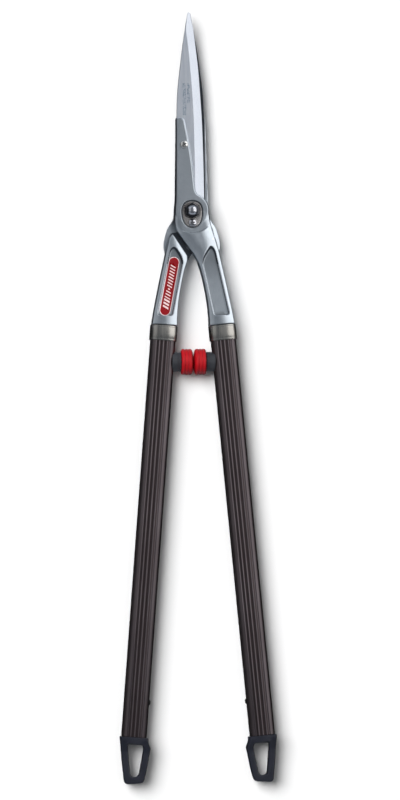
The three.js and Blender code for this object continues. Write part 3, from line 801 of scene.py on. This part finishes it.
def moulded(name, low, high, rough, grain=1.6, deep=0.04, **constants):
    """Plastic or rubber with a fine moulded grain and a faint change of shade."""
    made, tree, shader = material(name, **constants)
    where = placed(tree)
    broad, fine = noise(tree, where, 0.09, 4), noise(tree, where, grain, 3)
    tone = blend(tree, ramp(tree, broad, 0.3, 0.7), low, high)
    # A painted highlight: the sharp edges a little lighter.
    painted_sheen = blend(tree, ramp(tree, edge_highlight(tree), 0, 1, 0, 0.3), tone, tuple(1.6 * c + 0.01 for c in high))
    tree.links.new(painted_sheen, shader.inputs["Base Color"])
    tree.links.new(ramp(tree, broad, 0.25, 0.75, rough - 0.05, rough + 0.06), shader.inputs["Roughness"])
    bumped(tree, shader, fine, deep, 0.5)
    return made


CAST = cast_metal()
BLADE_FLAT = brushed("blade_flat", (0.84, 0.88, 0.95), (0.92, 0.95, 1.0), 0.34, (0.9, 0.025, 0.9),
                     etched=True)
BLADE_BEVEL = brushed("blade_bevel", (0.46, 0.485, 0.53), (0.50, 0.525, 0.57), 0.28, (0.9, 0.03, 0.9),
                      0.004)
BLADE_BACK = brushed("blade_back", (0.05, 0.055, 0.065), (0.09, 0.10, 0.115), 0.34, (0.9, 0.025, 0.9))
ANODISED = anodised()
COLLAR_METAL = brushed("collar_satin", (0.36, 0.345, 0.315), (0.44, 0.42, 0.385), 0.29, (1.2, 0.03, 1.2))
BRIGHT = brushed("bright_zinc", (0.62, 0.61, 0.59), (0.74, 0.73, 0.70), 0.20, (0.6, 0.6, 0.6), 0.01,
                 (0.03, 0.03, 0.035))
CHROMED = brushed("chromed", (0.46, 0.46, 0.49), (0.58, 0.58, 0.61), 0.10, (0.4, 0.4, 0.4), 0.004,
                  (0.02, 0.02, 0.025))
BLACKENED = brushed("blackened_steel", (0.02, 0.02, 0.02), (0.035, 0.034, 0.033), 0.34, (0.8, 0.8, 0.8))
PLATE_METAL = brushed("browned_plate", (0.12, 0.108, 0.10), (0.84, 0.79, 0.76), 0.34, (1.5, 1.5, 1.5), 0.03,
                      (0.03, 0.025, 0.025))
BRONZE = brushed("oiled_bronze", (0.45, 0.28, 0.13), (0.58, 0.40, 0.2), 0.38, (0.7, 0.7, 0.7))
RED = moulded("red_rubber", (0.34, 0.004, 0.008), (0.45, 0.006, 0.012), 0.42, Specular_IOR_Level=0.3)
STEM = moulded("stem_plastic", (0.018, 0.019, 0.023), (0.029, 0.031, 0.037), 0.46)
CAP = moulded("cap_plastic", (0.008, 0.009, 0.015), (0.013, 0.014, 0.022), 0.40)
LABEL_RED = moulded("label_red", (0.20, 0.003, 0.006), (0.26, 0.004, 0.009), 0.30, 0.8, 0.01,
                    Specular_IOR_Level=0.3)
LABEL_LIGHT = moulded("label_light", (0.74, 0.56, 0.57), (0.82, 0.66, 0.67), 0.32, 0.8, 0.01)


# ---- the label, on the side of the left neck that faces up ----

LABEL_FROM = np.array((18.2, -50.2))
LABEL_TO = np.array((27.4, -96.6))
LABEL_FLOOR = 0.2 - PANEL_FLOOR_Z


def label_frame(x, y):
    """The place on the label: across it, and along it from its middle."""
    along = (LABEL_TO - LABEL_FROM) / np.linalg.norm(LABEL_TO - LABEL_FROM)
    middle = (LABEL_TO + LABEL_FROM) / 2
    dx, dy = x - middle[0], y - middle[1]
    return dx * along[1] - dy * along[0], dx * along[0] + dy * along[1]


def stadium(x, y, r):
    """Distance to the label's outline, a strip with round ends of radius r."""
    across, along = label_frame(x, y)
    half = np.linalg.norm(LABEL_TO - LABEL_FROM) / 2
    return np.hypot(across, np.maximum(np.abs(along) - half, 0)) - r


def border_field(x, y, z):
    return common(stadium(x, y, 5.5), np.maximum(LABEL_FLOOR - 0.35 - z, z - LABEL_FLOOR), 0.15)


def red_field(x, y, z):
    return common(stadium(x, y, 4.75), np.maximum(LABEL_FLOOR - 0.55 - z, z - LABEL_FLOOR), 0.15)


# Each slanted bar's place along the label, half its thickness and half its length.
BARS = [(-20.6, 0.95, 2.9), (-17.4, 0.95, 2.9), (-14.2, 0.95, 2.9), (-11.4, 0.5, 2.9),
        (-8.4, 0.6, 2.5), (-5.6, 0.6, 2.5), (-2.8, 0.6, 1.1), (0, 0.6, 2.5), (2.8, 0.6, 2.5),
        (5.6, 0.6, 2.5), (8.4, 0.6, 2.5), (11.2, 0.6, 2.5), (14, 0.6, 2.5), (16.8, 0.6, 2.5),
        (19.6, 0.6, 2.5)]


def bars_field(x, y, z):
    across, along = label_frame(x, y)
    slanted = -along + 0.35 * across
    bars = np.inf
    for place, thick, long in BARS:
        bars = np.minimum(bars, common(np.abs(slanted - place) - thick, np.abs(across) - long, 0.3))
    return common(bars, np.maximum(LABEL_FLOOR - 0.68 - z, z - LABEL_FLOOR + 0.2), 0.08)


def label_pieces():
    low, high = (12, -102, LABEL_FLOOR - 1), (33, -42, LABEL_FLOOR + 0.4)
    made = []
    for name, field, step, skin in (("label_border", border_field, 0.3, LABEL_LIGHT),
                                    ("label_field", red_field, 0.3, LABEL_RED),
                                    ("label_bars", bars_field, 0.2, LABEL_LIGHT)):
        obj = carved(name, field, low, high, step, 0.4)
        obj.data.materials.append(skin)
        made.append(obj)
    return made


# ---- the two halves ----

UPPER = Matrix.Translation(PIVOT)
LOWER = UPPER @ Matrix.Rotation(math.pi, 4, "Y")


def fit(obj, skin, place, body, node_name):
    """Gives a piece its material, puts it on its half and lets it stand for its CAD node."""
    if skin and not obj.data.materials:
        obj.data.materials.append(skin)
    obj.matrix_world = place
    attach(obj, body)
    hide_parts(node_name)


def twin(obj, name):
    """Another object with the same mesh."""
    other = bpy.data.objects.new(name, obj.data)
    bpy.context.collection.objects.link(other)
    return other


def half_pieces():
    """Each piece of a half: its name, whether it is named by level or by side, the piece itself, its
    material and its slot."""
    screw = moved(pan_head("blade_screw", 4, 2.4, 2), shift(*BLADE_SCREW, arm_top(60) + 0.1)
                  @ Matrix.Rotation(0.6, 4, "Z"))
    cap_screw = moved(pan_head("end_cap_screw", 2.6, 1.5, 1.5), HANDLE
                      @ shift(0.05 - OVAL[0], CAP_SCREW_FROM_END - TUBE_LONG, 0)
                      @ Matrix.Rotation(-math.pi / 2, 4, "Y"))
    holder = carved("holder", holder_field, (-19, -123, -11), (44, 93, 11), 0.5, 0.5, holder_shade)
    return [
        ("holder", "level", holder, CAST, "cast_aluminium"),
        ("blade", "level", blade("blade", (BLADE_FLAT, BLADE_BEVEL, BLADE_BACK)), None, "blade_steel"),
        ("blade_screw", "level", screw, BRIGHT, "bright_steel"),
        ("collar", "side", collar("collar"), COLLAR_METAL, "collar_steel"),
        ("handle_tube", "side", tube("handle_tube"), ANODISED, "brown_anodised_tube"),
        ("bumper_pad", "side", bumper_pad("bumper_pad"), RED, "red_rubber"),
        ("bumper_stem", "side", bumper_stem("bumper_stem"), STEM, "bumper_plastic"),
        ("end_cap", "side", end_cap("end_cap"), CAP, "cap_plastic"),
        ("end_cap_screw", "side", cap_screw, BLACKENED, "black_steel"),
    ]


for what, naming, obj, skin, slot in half_pieces():
    upper_name = ("upper_" if naming == "level" else "right_") + what
    lower_name = ("lower_" if naming == "level" else "left_") + what
    fit(twin(obj, "visual_" + lower_name), skin, LOWER, "lower_half", lower_name)
    obj.name = "visual_" + upper_name
    fit(obj, skin, UPPER, "upper_half", upper_name)

# Painted shade on the nut, dark from the dome's rim outward and almost black on the hex, so that only the
# dome's middle shows bright.
nut = carved("visual_pivot_nut", nut_field, (-7.8, -7.8, 6.4), (7.8, 7.8, 16), 0.16, 0.5,
             lambda x, y, z: 0.92 * np.clip((np.hypot(x, y) - 3.9) / 1.3, 0, 1))
fit(nut, CHROMED, UPPER, "upper_half", "pivot_nut")
plate = carved("visual_nut_lock_plate", plate_field, (-10.5, -17, 6.4), (10.5, 10.5, 8.3), 0.2, 0.5)
fit(plate, PLATE_METAL, UPPER, "upper_half", "nut_lock_plate")
lock_screw = moved(pan_head("visual_lock_plate_screw", 3.9, 2.2, 1.8),
                   shift(*LOCK_SCREW, LOCK_PLATE_TOP + 0.05) @ Matrix.Rotation(0.2, 4, "Z"))
fit(lock_screw, CHROMED, UPPER, "upper_half", "lock_plate_screw")
fit(bolt_head("visual_pivot_bolt"), BRIGHT, UPPER, "upper_half", "pivot_bolt")
for obj in label_pieces():
    fit(obj, None, LOWER, "lower_half", "left_label")

INNER_SKINS = {"spring_washer": BRIGHT, "thrust_washer": BRONZE, "pivot_bush": BRONZE,
               "left_bumper_stud": BRIGHT, "right_bumper_stud": BRIGHT}
for name, skin in INNER_SKINS.items():
    data = frame["nodes"][name].data
    data.materials.clear()
    data.materials.append(skin)


# ---- floor, light and camera ----

def floor():
    """A pale floor, left out of reflections."""
    bpy.ops.mesh.primitive_plane_add(size=60, location=(0, 0, 0))
    plane = bpy.context.object
    plane.name = "floor"
    white = material("floor_white", Roughness=0.8, Base_Color=(0.93, 0.93, 0.93, 1))[0]
    plane.data.materials.append(white)
    plane.visible_glossy = False


def backdrop():
    """A pale wall all round, seen past the floor's far edge. It neither lights nor shades the tool."""
    bpy.ops.mesh.primitive_cylinder_add(vertices=64, radius=28, depth=60, end_fill_type="NOTHING")
    wall = bpy.context.object
    wall.name = "backdrop"
    white = material("backdrop_white", Emission_Color=(1, 1, 1, 1), Emission_Strength=0.95)[0]
    wall.data.materials.append(white)
    for ray in ("diffuse", "glossy", "transmission", "shadow"):
        setattr(wall, "visible_" + ray, False)


def panel_light(name, place, size, radiance, leaves):
    """A soft panel turned to the tool. It leaves out one kind of light."""
    data = bpy.data.lights.new(name, "AREA")
    data.shape = "RECTANGLE"
    data.size, data.size_y = size
    data.energy = radiance * math.pi * size[0] * size[1]
    lamp = bpy.data.objects.new(name, data)
    bpy.context.collection.objects.link(lamp)
    lamp.location = place
    lamp.rotation_euler = (0, math.atan2(place[0], place[2]), 0)
    setattr(lamp, leaves, False)


def card(name, lean, half, radiance):
    """A long panel seen only in reflections, from lean - half to lean + half degrees off the zenith."""
    reach, lean = 1.5, math.radians(lean)
    panel_light(name, (reach * math.sin(lean), 1.25, reach * math.cos(lean)),
                (2 * reach * math.tan(math.radians(half)), 3.2), radiance, "visible_diffuse")


def studio():
    """A soft sun from the upper left, a faint fill, and a sky and three cards for the metal to
    reflect."""
    world = bpy.data.worlds.new("studio")
    bpy.context.scene.world = world
    world.use_nodes = True
    tree = world.node_tree
    direction = node(tree, "ShaderNodeTexCoord", out=0)
    y, height = (node(tree, "ShaderNodeSeparateXYZ", {0: direction}, out=axis) for axis in (1, 2))
    ends = ramp(tree, node(tree, "ShaderNodeMath", {0: y}, operation="ABSOLUTE"), 0.35, 0.65)
    low = product(tree, ends, ramp(tree, height, 0.55, 0.35, 0, 0.42))
    sky = node(tree, "ShaderNodeMath", {0: ramp(tree, height, 0, 0.5, 0.01, 0.17), 1: low}, operation="ADD")
    tree.links.new(sky, tree.nodes["Background"].inputs[1])
    tree.nodes["Background"].inputs[0].default_value = (0.90, 0.99, 1.12, 1)
    world.cycles_visibility.diffuse = False
    sun = bpy.data.objects.new("key", bpy.data.lights.new("key", "SUN"))
    bpy.context.collection.objects.link(sun)
    sun.data.energy = 3.7
    sun.data.angle = math.radians(44)
    sun.rotation_euler = Vector((-0.64, 0.45, 1)).to_track_quat("Z", "Y").to_euler()
    sun.visible_glossy = False
    panel_light("fill", (0, 0, 2), (3, 3), 0.5, "visible_glossy")
    card("card_top", 2, 8, 0.15)
    card("card_right", 53, 33, 1.5)
    card("card_left", -50, 22, 0.38)
    bpy.context.scene.view_settings.view_transform = "Standard"


LEAN = math.radians(0.743)       # of the tool, anticlockwise in the picture
VIEW_SIDE = math.radians(-5)     # of the camera from straight above, towards +x
VIEW_BACK = math.radians(-3)     # towards +y
DISTANCE = 4.0
FRAME_HIGH = 0.776               # of the view at the tool, in metres
AIM = Vector((0.006, -0.0034, PIVOT.z))


def camera():
    """Almost straight above the tool, with the picture turned a little about the view."""
    data = bpy.data.cameras.new("camera")
    data.sensor_fit = "VERTICAL"
    data.sensor_height = 36
    data.lens = data.sensor_height * DISTANCE / FRAME_HIGH
    obj = bpy.data.objects.new("camera", data)
    bpy.context.collection.objects.link(obj)
    back = Vector((math.tan(VIEW_SIDE), math.tan(VIEW_BACK), 1)).normalized()
    up = Vector((math.sin(LEAN), math.cos(LEAN), 0))
    right = up.cross(back).normalized()
    up = back.cross(right)
    turn = Matrix((right, up, back)).transposed()
    obj.matrix_world = Matrix.Translation(AIM + DISTANCE * back) @ turn.to_4x4()
    bpy.context.scene.camera = obj


floor()
backdrop()
studio()
camera()
